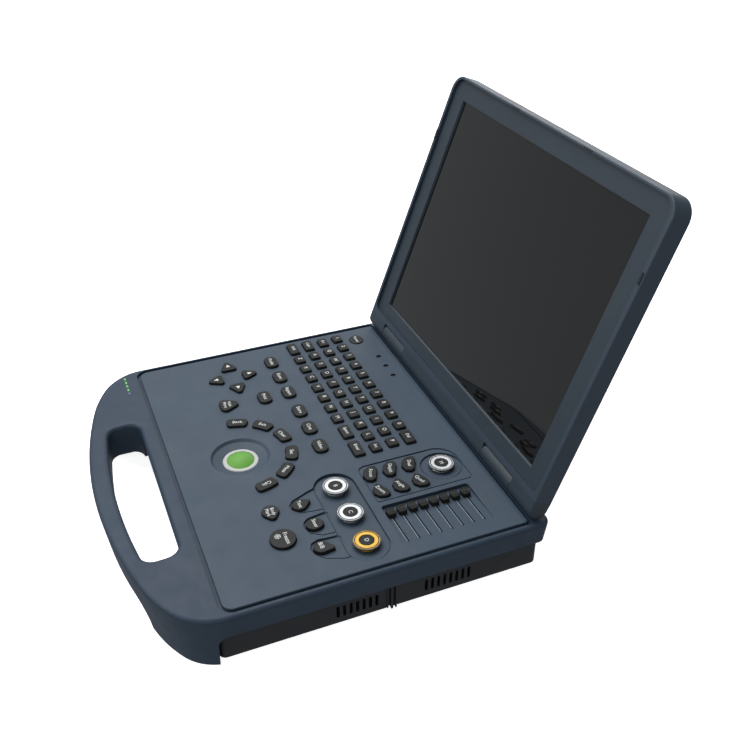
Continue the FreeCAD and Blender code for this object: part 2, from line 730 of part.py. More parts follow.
ARROW_X = -129.0
ARROW_Y = -15.6


def arrow_wire(heading, inner, outer, half_width):
    """Rounded triangle that points away from the middle of the cluster."""
    angle = math.radians(heading)
    along = (math.cos(angle), math.sin(angle))
    across = (-math.sin(angle), math.cos(angle))
    corners = [(inner, -half_width), (outer, 0.0), (inner, half_width)]
    points = []
    for radial, side in corners:
        x = ARROW_X + radial * along[0] + side * across[0]
        y = ARROW_Y + radial * along[1] + side * across[1]
        points.append((x, y))
    return rounded_wire(points, 3.0, KEY_BOTTOM_Z)


ARROWS = {
    "arrow_key_right": (0.0, 13.6, 32.5, 10.0),
    "arrow_key_up": (90.0, 10.3, 28.4, 9.7),
    "arrow_key_left": (180.0, 13.6, 32.5, 10.0),
    "arrow_key_down": (270.0, 10.3, 28.4, 9.7),
}

ARC_X = -1.0
ARC_Y = -47.6
ARC_ANGLES = [16.85, 45.2, 73.9, 106.1, 134.8, 163.1]
ARC_HALF_ANGLE = 10.8
ARC_INNER = 45.8
ARC_OUTER = 57.2


def arc_sector(middle, grow, z0, z1):
    """Ring segment with rounded corners, one of the fan of keys round the ball."""
    spread = math.radians(ARC_HALF_ANGLE) + grow / 51.5
    centre = math.radians(middle)
    inner = ARC_INNER - grow
    outer = ARC_OUTER + grow

    def at(radius, angle):
        return Vector(ARC_X + radius * math.cos(angle), ARC_Y + radius * math.sin(angle), z0)

    a, b = centre - spread, centre + spread
    wire = Part.Wire([
        Part.Arc(at(inner, a), at(inner, centre), at(inner, b)).toShape(),
        Part.LineSegment(at(inner, b), at(outer, b)).toShape(),
        Part.Arc(at(outer, b), at(outer, centre), at(outer, a)).toShape(),
        Part.LineSegment(at(outer, a), at(inner, a)).toShape(),
    ])
    solid = prism(wire, z1 - z0)
    vertical = [edge for edge in solid.Edges if abs(edge.BoundBox.ZLength - (z1 - z0)) < 0.01]
    return solid.makeFillet(3.4 + grow, vertical)


def make_arc_keys():
    keys = []
    for angle in ARC_ANGLES:
        solid = arc_sector(angle, 0.0, KEY_BOTTOM_Z, KEY_TOP_Z)
        keys.append(round_edges(solid, 0.8, lambda p: abs(p.z - KEY_TOP_Z) < 0.01))
    return Part.makeCompound(keys)


POWER_X = -152.5
POWER_Y = 130.0
FREEZE_X = 119.2
FREEZE_Y = -40.0
FREEZE_RX = 11.4
FREEZE_RY = 10.9


def make_power_button():
    wire = ellipse_wire(POWER_X, POWER_Y, 8.5, 7.5, KEY_BOTTOM_Z)
    return outlined_key(wire, 53.0, 0.5)


def make_freeze_key():
    wire = ellipse_wire(FREEZE_X, FREEZE_Y, FREEZE_RX, FREEZE_RY, KEY_BOTTOM_Z)
    return outlined_key(wire)


def key_set(wires):
    return Part.makeCompound([outlined_key(wire) for wire in wires])


# ---------------------------------------------------------------- control panel

def slider_floor(x):
    slope = (SLIDER_FLOOR_Z1 - SLIDER_FLOOR_Z0) / (SLIDER_FLOOR_X1 - SLIDER_FLOOR_X0)
    return SLIDER_FLOOR_Z0 + slope * (x - SLIDER_FLOOR_X0)


def control_recesses():
    z = 40.0
    capsule = rounded_wire(rectangle_points(53.5, 168.5, 3.1, 41.1), 18.99, z)
    ring = Part.Wire([Part.Circle(Vector(80.5, 121.4, z), Vector(0, 0, 1), 19.2).toShape()])
    paddles = rounded_wire(rectangle_points(54.5, 106.0, 48.6, 141.0), [8.0, 3.0, 3.0, 20.0], z)
    tears = [
        ([(65.5, 6), (68.5, -2.5), (72.5, -11.5), (75.5, -18.5), (81.5, -23), (87, -22),
          (94, -15), (96, 0), (96, 6)], 66.0, 50.3, 94.0),
        ([(98.5, 6), (100, -4.6), (101.5, -13.6), (105.5, -18), (110.5, -19.6),
          (120, -17), (126, -8), (127, 6)], 98.5, 50.3, 126.0),
        ([(130, 6), (129.5, -6.5), (128.5, -13.5), (131, -20), (137.5, -23),
          (145, -21), (152, -15), (158, 0), (158, 6)], 128.5, 50.5, 158.0),
    ]
    sliders = rounded_wire(
        rectangle_points(SLIDER_FLOOR_X0, SLIDER_FLOOR_X1, 49.4, 132.2), [3.0, 1.0, 1.0, 3.0], z)
    cuts = [
        sloped_recess(sliders, SLIDER_FLOOR_X0, SLIDER_FLOOR_Z0, SLIDER_FLOOR_X1, SLIDER_FLOOR_Z1),
    ]
    cuts += recess_with_border(capsule, 53.5, 49.6, 168.5, 51.0)
    cuts += recess_with_border(ring, 61.3, 50.0, 99.7, 51.4)
    cuts += recess_with_border(paddles, 54.5, 51.3, 106.0, 52.0)
    for outline, x0, z0, x1 in tears:
        cuts += recess_with_border(rounded_wire(outline, 0.8, z), x0, z0, x1, DECK_Z + 0.02)
    return cuts


def control_holes():
    holes = row_holes()
    wires = preset_wires() + function_wires() + paddle_wires()
    wires += [arrow_wire(*values) for values in ARROWS.values()]
    for wire in wires:
        holes.append(key_hole(wire))
    for angle in ARC_ANGLES:
        holes.append(arc_sector(angle, KEY_GAP, 40.0, 60.0))
    holes.append(prism(ellipse_wire(POWER_X, POWER_Y, 8.85, 7.85, 40.0), 20.0))
    holes.append(prism(ellipse_wire(FREEZE_X, FREEZE_Y, FREEZE_RX + KEY_GAP, FREEZE_RY + KEY_GAP, 40.0), 20.0))
    for x, y in DIAL_CENTRES:
        holes.append(cylinder(x, y, 5.0, 40.0, 60.0))
        holes.append(cylinder(x, y, DIAL_RADIUS - 0.4, 50.3, 60.0))
    for i in range(SLIDER_COUNT):
        y = SLIDER_FIRST_Y + SLIDER_PITCH * i
        holes.append(box(118.0, 158.7, y - 0.65, y + 0.65, 40.0, 60.0))
    for x in (-112.0, -92.0, -72.4):
        holes.append(cylinder(x, DOT_ROW_Y, 2.75, 50.6, 60.0))
    return holes


def make_control_panel():
    plate = prism(rounded_wire(panel_pocket_points(0.0), [8.5, 8.5, 3.0, 3.0], POCKET_Z),
                  DECK_Z - POCKET_Z)
    plate = round_edges(plate, 0.8, lambda p: abs(p.z - DECK_Z) < 0.01)
    lower = rounded_box(-169.9, 169.9, -88.0, 143.5, PANEL_UNDER_Z, POCKET_Z + 0.1, 3.5)
    posts = [cylinder(x, y, 3.0, 45.0, PANEL_UNDER_Z + 0.5)
             for x, y in [(-150, -78), (150, -78), (45, 128), (42, 6), (-40, 4), (-60, 128)]]
    plate = plate.fuse([lower] + posts)
    dish = turned([(0.0, 40.0), (16.8, 40.0), (16.8, 47.3), (25.0, 49.6), (26.4, 51.2),
                   (27.2, 52.1), (0.0, 52.1)], BALL_X, BALL_Y)
    plate = plate.cut(dish)
    for recess in control_recesses():
        plate = plate.cut(recess)
    return plate.cut(control_holes())


# ---------------------------------------------------------------- ball, knobs, sliders

def sphere(radius):
    return Part.makeSphere(radius, Vector(BALL_X, BALL_Y, BALL_Z))


def make_trackball():
    return sphere(BALL_RADIUS)


def make_trackball_ring():
    ring = turned([(12.0, 46.1), (16.5, 46.1), (16.5, 47.2), (15.9, 47.8), (12.0, 47.8)],
                  BALL_X, BALL_Y)
    return ring.cut(sphere(19.35))


def make_trackball_socket():
    socket = cylinder(BALL_X, BALL_Y, 10.0, TRAY_FLOOR_Z, 14.0)
    socket = socket.fuse(cylinder(BALL_X, BALL_Y, 24.0, 13.0, 43.9))
    socket = socket.fuse(cylinder(BALL_X, BALL_Y, 20.0, 43.0, 46.1))
    return socket.cut(sphere(19.4))


def make_dial(index):
    x, y = DIAL_CENTRES[index]
    profile = [
        (3.08, 50.6), (9.5, 50.6), (9.5, 51.6), (9.3, 51.8), (8.6, 51.8), (8.6, 54.1),
        (11.6, 54.1), (DIAL_RADIUS, 54.5), (DIAL_RADIUS, 55.2), (11.8, DIAL_TOP_Z),
        (11.4, DIAL_TOP_Z), (11.3, 55.0), (10.9, 55.0), (10.8, DIAL_TOP_Z), (10.4, DIAL_TOP_Z),
        (10.3, 55.0), (9.8, 55.0), (9.6, DIAL_TOP_Z), (6.5, DIAL_TOP_Z), (6.25, 55.2),
        (6.25, 52.2), (3.08, 52.2),
    ]
    return turned(profile, x, y)


def make_dial_button(index):
    x, y = DIAL_CENTRES[index]
    profile = [(0.0, 48.0), (1.6, 48.0), (1.6, 53.2), (6.0, 53.2), (6.0, 55.0),
               (5.7, 55.3), (0.0, 55.3)]
    return turned(profile, x, y)


def make_slider_cap(index):
    """Sliding cap with a finger hollow, standing square on the sloping floor."""
    y = SLIDER_FIRST_Y + SLIDER_PITCH * index
    slope = math.atan2(SLIDER_FLOOR_Z1 - SLIDER_FLOOR_Z0, SLIDER_FLOOR_X1 - SLIDER_FLOOR_X0)
    length = SLIDER_CAP_X1 - SLIDER_CAP_X0
    cap = rounded_box(-length / 2, length / 2, -3.8, 3.8, 0.3, SLIDER_CAP_HEIGHT, 2.4)
    cap = round_edges(cap, 0.9, lambda p: abs(p.z - SLIDER_CAP_HEIGHT) < 0.01)
    scoop = Part.makeCylinder(8.0, 20.0, Vector(0, -10, SLIDER_CAP_HEIGHT + 7.2), Vector(0, 1, 0))
    blade = box(-1.5, 1.5, -0.4, 0.4, -6.0, 1.0)
    cap = cap.cut(scoop).fuse(blade)
    cap.rotate(Vector(0, 0, 0), Vector(0, 1, 0), -math.degrees(slope))
    middle = (SLIDER_CAP_X0 + SLIDER_CAP_X1) / 2.0
    cap.translate(Vector(middle, y, slider_floor(middle)))
    return cap


# ---------------------------------------------------------------- hinge

def make_hinge_knuckles():
    knuckles = []
    for side in (-1, 1):
        x0, x1 = sorted((side * KNUCKLE_X0, side * KNUCKLE_X1))
        barrel = cylinder_x(x0, x1, HINGE_Y, HINGE_Z, HINGE_RADIUS)
        pedestal = box(x0, x1, 160.0, 170.5, DECK_Z, HINGE_Z)
        bore = cylinder_x(x0 - 1, x1 + 1, HINGE_Y, HINGE_Z, PIN_RADIUS)
        knuckles.append(barrel.fuse(pedestal).cut(bore))
    return Part.makeCompound(knuckles)


PIN_OVERHANG = 8.0


def make_hinge_pins():
    pins = []
    for side in (-1, 1):
        x0, x1 = sorted((side * (KNUCKLE_X0 - PIN_OVERHANG), side * (KNUCKLE_X1 + PIN_OVERHANG)))
        pins.append(cylinder_x(x0, x1, HINGE_Y, HINGE_Z, PIN_RADIUS))
    return Part.makeCompound(pins)


def lid_axis_cylinder(x0, x1, radius):
    return cylinder_x(x0, x1, LID_AXIS_V, LID_AXIS_W, radius)


def make_lid_hinge_brackets():
    brackets = []
    for x0, x1 in BRACKET_SPANS:
        eye = lid_axis_cylinder(x0, x1, 6.0)
        strap = box(x0, x1, LID_AXIS_V, LCD_BOTTOM_V - 0.5, LID_AXIS_W - 5.0, LID_AXIS_W - 1.0)
        eye = eye.fuse(strap)
        brackets.append(eye.cut(lid_axis_cylinder(x0 - 1, x1 + 1, PIN_RADIUS + PIN_CLEARANCE)))
    return place_lid(Part.makeCompound(brackets))


# ---------------------------------------------------------------- display

def lid_profile():
    """Whole display housing with the rounded hinge edge, as one solid block."""
    x = -LID_HALF
    bottom_back = Vector(x, LID_AXIS_V, LID_AXIS_W - HINGE_RADIUS)
    bottom = Vector(x, LID_AXIS_V - HINGE_RADIUS, LID_AXIS_W)
    bottom_front = Vector(x, LID_AXIS_V, LID_AXIS_W + HINGE_RADIUS)
    points = [
        bottom_front,
        Vector(x, LID_TOP, LID_RIM),
        Vector(x, LID_TOP, LID_SIDE_BACK),
        Vector(x, -20.0, LID_SIDE_BACK),
        bottom_back,
    ]
    edges = [Part.LineSegment(points[i], points[i + 1]).toShape() for i in range(4)]
    edges.append(Part.Arc(bottom_back, bottom, bottom_front).toShape())
    block = Part.Face(Part.Wire(edges)).extrude(Vector(2 * LID_HALF, 0, 0))

    def top_corner(point):
        return abs(abs(point.x) - LID_HALF) < 0.01 and abs(point.y - LID_TOP) < 0.01

    block = round_edges(block, LID_CORNER, top_corner)

    def front_rim(point):
        at_rim = abs(point.z - LID_RIM) < 0.01
        return at_rim and (abs(point.x) > 150 or point.y > 200)

    return round_edges(block, 1.2, front_rim)


def lid_back_swell():
    """Shallow swell of the back, deepest along the upper edge."""
    low = rounded_wire(rectangle_points(-175.4, 175.4, -12.0, 248.4), [10, 10, 15, 15], LID_SIDE_BACK)
    high = rounded_wire(rectangle_points(-166.0, 166.0, -2.0, 246.8), [10, 10, 15, 15], LID_BACK)
    return Part.makeLoft([low, high], True, True)


def strap_slots():
    return [box(x0 - 0.3, x1 + 0.3, -30.0, -9.0, LID_AXIS_W - 5.3, LID_AXIS_W - 0.7)
            for x0, x1 in BRACKET_SPANS]


def make_lid_back_cover():
    tub = lid_profile().fuse(lid_back_swell())
    upper = box(-200, 200, LID_SEAM_V, 300, -40, 20)
    tub = tub.common(upper)
    recess = rounded_box(-RECESS_HALF, RECESS_HALF, RECESS_BOTTOM, RECESS_TOP, -11.5, 20,
                         [8.0, 8.0, 13.0, 13.0])
    deep = rounded_box(-150, 150, 8, 225, -19.0, -11.0, 6.0)
    return place_lid(tub.cut([recess, deep] + strap_slots()))


def make_lid_chin():
    """Rounded covers round the hinge, in three lengths between the knuckles."""
    block = lid_profile().common(box(-200, 200, -60, LID_SEAM_V, -40, 20))
    spans = [(-LID_HALF, -NOTCH_X1), (-NOTCH_X0, NOTCH_X0), (NOTCH_X1, LID_HALF)]
    bores = [(-LID_HALF + 4, -NOTCH_X1 + 1), (-NOTCH_X0 - 1, -NOTCH_X0 + 14),
             (NOTCH_X0 - 14, NOTCH_X0 + 1), (NOTCH_X1 - 1, LID_HALF - 4)]
    pieces = []
    for x0, x1 in spans:
        piece = block.common(box(x0, x1, -60, 0, -40, 20))
        tools = [lid_axis_cylinder(b0, b1, 6.3) for b0, b1 in bores]
        pieces.append(piece.cut(tools + strap_slots()))
    return place_lid(Part.makeCompound(pieces))


def make_lid_bezel():
    plate = rounded_box(-RECESS_HALF + 0.2, RECESS_HALF - 0.2, RECESS_BOTTOM + 0.2, RECESS_TOP - 0.2,
                        -1.2, BEZEL_FRONT, [7.8, 7.8, 12.8, 12.8])
    low = rounded_wire(rectangle_points(-SCREEN_HALF + 0.8, SCREEN_HALF - 0.8, 0.8, SCREEN_HEIGHT - 0.8),
                       0.5, -1.3)
    high = rounded_wire(rectangle_points(-SCREEN_HALF, SCREEN_HALF, 0.0, SCREEN_HEIGHT), 0.8,
                        BEZEL_FRONT + 0.1)
    return place_lid(plate.cut(Part.makeLoft([low, high], True, True)))


def make_screen_glass():
    return place_lid(box(-155, 155, -3, SCREEN_HEIGHT + 3, -2.4, -1.2))


def make_lcd_panel():
    return place_lid(box(-160, 160, LCD_BOTTOM_V, SCREEN_HEIGHT + 6, -11.5, -2.4))


def make_lid_bumpers():
    pads = [
        rounded_box(-63, -51, 247.0, 248.2, LID_RIM, LID_RIM + 0.8, 0.5),
        rounded_box(54, 66, 247.0, 248.2, LID_RIM, LID_RIM + 0.8, 0.5),
        rounded_box(173.4, 175.4, 181, 191, LID_RIM, LID_RIM + 0.8, 0.8),
        rounded_box(-175.4, -173.4, 181, 191, LID_RIM, LID_RIM + 0.8, 0.8),
    ]
    return place_lid(Part.makeCompound(pads))


# ---------------------------------------------------------------- assembly

def all_pieces():
    pieces = {
        "upper_housing": make_upper_housing(),
        "lower_housing": make_lower_housing(),
        "control_panel": make_control_panel(),
        "rubber_feet": make_rubber_feet(),
        "housing_screws": make_housing_screws(),
        "indicator_lenses": make_indicator_lenses(),
        "battery_pack": make_battery_pack(),
        "main_board": make_main_board(),
        "front_end_module": make_front_end_module(),
        "power_module": make_power_module(),
        "heat_sink": make_heat_sink(),
        "fan_frame": make_fan_frame(),
        "fan_rotor": make_fan_rotor(),
        "keypad_board": make_keypad_board(),
        "slider_tracks": make_slider_tracks(),
        "encoder_bodies": make_encoder_bodies(),
        "probe_connectors": make_probe_connectors(),
        "io_connectors": make_io_connectors(),
        "preset_keys": key_set(preset_wires()),
        "function_keys": key_set(function_wires()),
        "paddle_keys": key_set(paddle_wires()),
        "arc_keys": make_arc_keys(),
        "power_button": make_power_button(),
        "freeze_key": make_freeze_key(),
        "trackball": make_trackball(),
        "trackball_ring": make_trackball_ring(),
        "trackball_socket": make_trackball_socket(),
        "hinge_knuckles": make_hinge_knuckles(),
        "hinge_pins": make_hinge_pins(),
        "lid_hinge_brackets": make_lid_hinge_brackets(),
        "lid_back_cover": make_lid_back_cover(),
        "lid_chin": make_lid_chin(),
        "lid_bezel": make_lid_bezel(),
        "lid_bumpers": make_lid_bumpers(),
        "screen_glass": make_screen_glass(),
        "lcd_panel": make_lcd_panel(),
    }
    for name in ROWS:
        pieces[name] = make_key_row(name)
    for name, values in ARROWS.items():
        pieces[name] = outlined_key(arrow_wire(*values))
    for i in range(len(DIAL_CENTRES)):
        pieces["mode_dial_%d" % (i + 1)] = make_dial(i)
        pieces["mode_button_%d" % (i + 1)] = make_dial_button(i)
    for i in range(SLIDER_COUNT):
        pieces["slider_cap_%d" % (i + 1)] = make_slider_cap(i)
    return pieces


def main():
    os.makedirs("parts", exist_ok=True)
    for name, shape in all_pieces().items():
        moved = shape.copy()
        moved.translate(Vector(0, ROW_SHIFT_Y, ROW_SHIFT_Z))
        moved.exportStep("parts/%s.step" % name)
        limits = moved.BoundBox
        print("%-20s valid %s solids %d x %.1f %.1f y %.1f %.1f z %.1f %.1f" % (
            name, moved.isValid(), len(moved.Solids), limits.XMin, limits.XMax,
            limits.YMin, limits.YMax, limits.ZMin, limits.ZMax))


main()
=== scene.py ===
import json
import math

import bpy
from mathutils import Matrix, Vector


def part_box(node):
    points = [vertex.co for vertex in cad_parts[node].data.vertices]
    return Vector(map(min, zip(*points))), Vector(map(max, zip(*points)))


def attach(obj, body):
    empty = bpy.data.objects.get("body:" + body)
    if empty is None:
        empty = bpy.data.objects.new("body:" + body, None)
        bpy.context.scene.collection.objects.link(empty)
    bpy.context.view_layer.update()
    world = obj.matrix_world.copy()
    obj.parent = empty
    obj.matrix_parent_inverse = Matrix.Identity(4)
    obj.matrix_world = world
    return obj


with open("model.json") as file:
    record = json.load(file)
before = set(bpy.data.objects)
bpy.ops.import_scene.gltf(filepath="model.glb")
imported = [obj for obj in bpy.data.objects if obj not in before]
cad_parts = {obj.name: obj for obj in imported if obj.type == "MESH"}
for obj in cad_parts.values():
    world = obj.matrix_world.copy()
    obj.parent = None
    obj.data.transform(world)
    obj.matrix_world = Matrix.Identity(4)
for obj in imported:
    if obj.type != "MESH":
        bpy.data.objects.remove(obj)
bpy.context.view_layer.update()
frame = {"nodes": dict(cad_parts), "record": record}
NODES = frame["nodes"]
BODY_OF = {
    node: body
    for body, members in frame["record"]["behaviour"]["bodies"].items()
    for node in members
}

MM = 0.001
LEGEND_LIFT = 0.03 * MM
LEGEND_DEPTH = 0.05 * MM


# ---------------------------------------------------------------- materials

def srgb(red, green, blue):
    """Linear colour of an 8-bit display colour."""
    values = []
    for channel in (red, green, blue):
        c = channel / 255.0
        values.append(c / 12.92 if c <= 0.04045 else ((c + 0.055) / 1.055) ** 2.4)
    return (values[0], values[1], values[2], 1.0)


def scaled(color, factor):
    """Linear colour made lighter or darker."""
    return tuple(min(1.0, c * factor) for c in color[:3]) + (1.0,)


class Paint:
    """Small helper round one node material with object coordinates."""

    def __init__(self, name):
        self.material = bpy.data.materials.new(name)
        self.material.use_nodes = True
        self.nodes = self.material.node_tree.nodes
        self.links = self.material.node_tree.links
        self.shader = self.nodes["Principled BSDF"]
        self.place = self.nodes.new("ShaderNodeTexCoord").outputs["Object"]

    def link(self, source, target):
        self.links.new(source, target)

    def noise(self, scale, detail=3.0, rough=0.55, stretch=None):
        place = self.place
        if stretch:
            mapping = self.nodes.new("ShaderNodeMapping")
            mapping.inputs["Scale"].default_value = stretch
            self.link(place, mapping.inputs["Vector"])
            place = mapping.outputs["Vector"]
        node = self.nodes.new("ShaderNodeTexNoise")
        node.inputs["Scale"].default_value = scale
        node.inputs["Detail"].default_value = detail
        node.inputs["Roughness"].default_value = rough
        self.link(place, node.inputs["Vector"])
        return node.outputs["Fac"]

    def spread(self, source, low, high, start=0.3, end=0.7):
        node = self.nodes.new("ShaderNodeMapRange")
        node.inputs["From Min"].default_value = start
        node.inputs["From Max"].default_value = end
        node.inputs["To Min"].default_value = low
        node.inputs["To Max"].default_value = high
        self.link(source, node.inputs["Value"])
        return node.outputs["Result"]

    def mix(self, factor, first, second):
        node = self.nodes.new("ShaderNodeMix")
        node.data_type = "RGBA"
        self.link(factor, node.inputs["Factor"])
        for socket, value in ((node.inputs[6], first), (node.inputs[7], second)):
            if isinstance(value, tuple):
                socket.default_value = value
            else:
                self.link(value, socket)
        return node.outputs[2]

    def maths(self, operation, first, second=0.0):
        node = self.nodes.new("ShaderNodeMath")
        node.operation = operation
        for socket, value in ((node.inputs[0], first), (node.inputs[1], second)):
            if isinstance(value, (int, float)):
                socket.default_value = value
            else:
                self.link(value, socket)
        return node.outputs[0]

    def bump(self, height, strength, distance, under=None):
        node = self.nodes.new("ShaderNodeBump")
        node.inputs["Strength"].default_value = strength
        node.inputs["Distance"].default_value = distance
        self.link(height, node.inputs["Height"])
        if under is not None:
            self.link(under, node.inputs["Normal"])
        return node.outputs["Normal"]

    def edge(self, radius):
        """Zero on flat areas and towards one where the surface turns a corner."""
        bevel = self.nodes.new("ShaderNodeBevel")
        bevel.samples = 4
        bevel.inputs["Radius"].default_value = radius
        geometry = self.nodes.new("ShaderNodeNewGeometry")
        dot = self.nodes.new("ShaderNodeVectorMath")
        dot.operation = "DOT_PRODUCT"
        self.link(bevel.outputs["Normal"], dot.inputs[0])
        self.link(geometry.outputs["Normal"], dot.inputs[1])
        return self.spread(dot.outputs["Value"], 1.0, 0.0, 0.80, 0.995)

    def set(self, name, value):
        """Uniform value set straight on the shader."""
        self.shader.inputs[name].default_value = value

    def colour(self, source):
        self.link(source, self.shader.inputs["Base Color"])

    def roughness(self, source):
        self.link(source, self.shader.inputs["Roughness"])

    def normal(self, source):
        self.link(source, self.shader.inputs["Normal"])


def moulded_plastic(name, color, rough=0.5, grain=0.45, bump=0.25, wear_and_edge_highlight=0.0, specular=0.5,
                    cloud=0.05):
    """Injection-moulded plastic: fine grain, faint clouding, and lighter edges that are partly
    rubbed wear and partly a painted edge highlight.
    """
    paint = Paint(name)
    clouds = paint.spread(paint.noise(14.0, 4.0), 0.0, 1.0)
    base = paint.mix(clouds, scaled(color, 1.0 - cloud), scaled(color, 1.0 + cloud))
    specks = paint.spread(paint.noise(1400.0, 2.0), 0.0, 1.0, 0.62, 0.80)
    base = paint.mix(paint.maths("MULTIPLY", specks, 0.35), base, scaled(color, 1.5))
    # Lighter edges: patchy rubbed wear, and partly a painted highlight along every corner.
    if wear_and_edge_highlight > 0.0:
        patchy = paint.spread(paint.noise(90.0), 0.25, 1.0)
        rub_and_highlight = paint.maths("MULTIPLY", paint.edge(0.7 * MM), patchy)
        base = paint.mix(paint.maths("MULTIPLY", rub_and_highlight, wear_and_edge_highlight), base, scaled(color, 2.1))
    paint.colour(base)
    smear = paint.spread(paint.noise(38.0, 5.0, 0.65), rough - 0.06, rough + 0.07)
    paint.roughness(smear)
    fine = paint.bump(paint.noise(1.0 / (grain * MM), 2.0), bump, 0.06 * MM)
    paint.normal(paint.bump(paint.noise(9.0, 2.0), 0.12, 0.4 * MM, fine))
    paint.set("Specular IOR Level", specular)
    return paint.material


def satin_metal(name, color, rough=0.28, stretch=(1.0, 1.0, 30.0)):
    """Turned or brushed metal with fine streaks."""
    paint = Paint(name)
    streak = paint.noise(600.0, 3.0, 0.6, stretch)
    tone = paint.spread(streak, 0.0, 1.0)
    paint.colour(paint.mix(tone, scaled(color, 0.86), scaled(color, 1.08)))
    paint.roughness(paint.spread(paint.noise(120.0, 3.0), rough - 0.07, rough + 0.09))
    paint.normal(paint.bump(streak, 0.12, 0.02 * MM))
    paint.set("Metallic", 1.0)
    return paint.material


def rubber(name, color):
    """Dull moulded rubber with a little dust."""
    paint = Paint(name)
    dust = paint.spread(paint.noise(55.0, 5.0, 0.7), 0.0, 0.5, 0.45, 0.8)
    paint.colour(paint.mix(dust, color, scaled(color, 2.4)))
    paint.roughness(paint.spread(paint.noise(300.0), 0.72, 0.9))
    paint.normal(paint.bump(paint.noise(2400.0, 2.0), 0.3, 0.05 * MM))
    paint.set("Specular IOR Level", 0.3)
    return paint.material


def circuit_board(name):
    """Green solder mask over a glass weave, with faint tracks."""
    paint = Paint(name)
    green = srgb(24, 86, 48)
    weave = paint.noise(900.0, 2.0, 0.5, (1.0, 6.0, 1.0))
    traces = paint.spread(paint.noise(160.0, 1.0, 0.4, (1.0, 5.0, 1.0)), 0.0, 1.0, 0.5, 0.54)
    base = paint.mix(paint.spread(weave, 0.0, 1.0), scaled(green, 0.85), scaled(green, 1.1))
    paint.colour(paint.mix(paint.maths("MULTIPLY", traces, 0.4), base, srgb(60, 130, 80)))
    paint.roughness(paint.spread(weave, 0.3, 0.45))
    paint.normal(paint.bump(traces, 0.3, 0.03 * MM))
    return paint.material


def screen_face(name):
    """Dark panel glass with a smooth face, a little dust and faint cleaning smears."""
    paint = Paint(name)
    tone = paint.spread(paint.noise(6.0, 3.0), 0.0, 1.0)
    paint.colour(paint.mix(tone, srgb(9, 9, 9), srgb(12, 12, 12)))
    smear = paint.noise(20.0, 5.0, 0.7, (1.0, 3.0, 3.0))
    paint.roughness(paint.spread(smear, 0.02, 0.045))
    paint.normal(paint.bump(paint.noise(5.0, 1.0), 0.02, 0.2 * MM))
    paint.set("Specular IOR Level", 0.62)
    return paint.material


def resin_with_painted_glow(name):
    """Polished trackball resin with soft marbling and a painted glow that flattens its light and
    shade.
    """
    paint = Paint(name)
    green = srgb(74, 118, 48)
    marble = paint.spread(paint.noise(70.0, 4.0, 0.6), 0.0, 1.0)
    flecks = paint.spread(paint.noise(900.0, 2.0), 0.0, 0.5, 0.6, 0.75)
    base = paint.mix(marble, scaled(green, 0.90), scaled(green, 1.06))
    base = paint.mix(flecks, base, scaled(green, 1.25))
    paint.colour(base)
    paint.roughness(paint.spread(paint.noise(180.0), 0.42, 0.52))
    paint.normal(paint.bump(paint.noise(400.0, 2.0), 0.05, 0.02 * MM))
    # Painted glow: the ball is no lamp; its emission evens out the shading.
    paint.link(base, paint.shader.inputs["Emission Color"])
    paint.set("Emission Strength", 0.75)
    paint.set("Specular IOR Level", 0.2)
    return paint.material


def lamp_lens(name, color, glow):
    """Tinted lens that glows faintly."""
    paint = Paint(name)
    tone = paint.spread(paint.noise(500.0), 0.0, 1.0)
    base = paint.mix(tone, scaled(color, 0.8), scaled(color, 1.15))
    paint.colour(base)
    paint.link(base, paint.shader.inputs["Emission Color"])
    paint.set("Emission Strength", glow)
    paint.roughness(paint.spread(paint.noise(300.0), 0.2, 0.35))
    return paint.material


def ink_and_painted_highlight(name, color):
    """Printed ink, worn thin in places; also the paint for the painted highlight lines."""
    paint = Paint(name)
    worn = paint.spread(paint.noise(420.0, 3.0), 0.0, 0.5, 0.4, 0.8)
    paint.colour(paint.mix(worn, color, scaled(color, 0.72)))
    paint.roughness(paint.spread(paint.noise(700.0), 0.45, 0.6))
    paint.normal(paint.bump(paint.noise(3000.0, 2.0), 0.15, 0.01 * MM))
    return paint.material


SHELL = moulded_plastic("shell_slate", srgb(33, 47, 62), 0.55, wear_and_edge_highlight=0.25, specular=0.28)
PANEL = moulded_plastic("panel_slate", srgb(48, 61, 74), 0.58, wear_and_edge_highlight=0.25, specular=0.28)
TRAY = moulded_plastic("tray_black", srgb(22, 25, 30), 0.55, wear_and_edge_highlight=0.15, specular=0.35)
BEZEL = moulded_plastic("bezel_slate", srgb(35, 45, 54), 0.46, 0.3, 0.12, 0.2, 0.38)
LID_SHELL = moulded_plastic("lid_slate", srgb(38, 50, 62), 0.5, 0.35, 0.15, 0.35, 0.4)
KEYS = moulded_plastic("key_graphite", srgb(21, 23, 21), 0.46, 0.3, 0.12, wear_and_edge_highlight=0.5, specular=0.18)
DARK = moulded_plastic("dark_plastic", srgb(18, 19, 20), 0.5)
WAIST = moulded_plastic("knob_waist_black", srgb(13, 13, 14), 0.45, specular=0.3)
PAD = moulded_plastic("bumper_slate", srgb(24, 29, 35), 0.6, specular=0.3)
RUBBER = rubber("foot_rubber_black", srgb(26, 26, 27))
STEEL = satin_metal("steel_satin", srgb(170, 172, 176), 0.35)
SHIELD = satin_metal("shield_tin", srgb(165, 168, 170), 0.42)
SINK = satin_metal("heat_sink_grey", srgb(120, 123, 128), 0.5)
BOARD = circuit_board("solder_mask")
BALL = resin_with_painted_glow("trackball_painted_glow")
RING = moulded_plastic("ring_pale", srgb(150, 152, 148), 0.3, grain=0.25, bump=0.05)
LENS = lamp_lens("lamp_green", srgb(84, 150, 76), 0.15)
LENS_BLUE = lamp_lens("lamp_blue", srgb(70, 84, 120), 0.1)
SILVER = satin_metal("knob_silver", srgb(176, 178, 180), 0.42)
GOLD = satin_metal("knob_gold", srgb(176, 142, 66), 0.40)
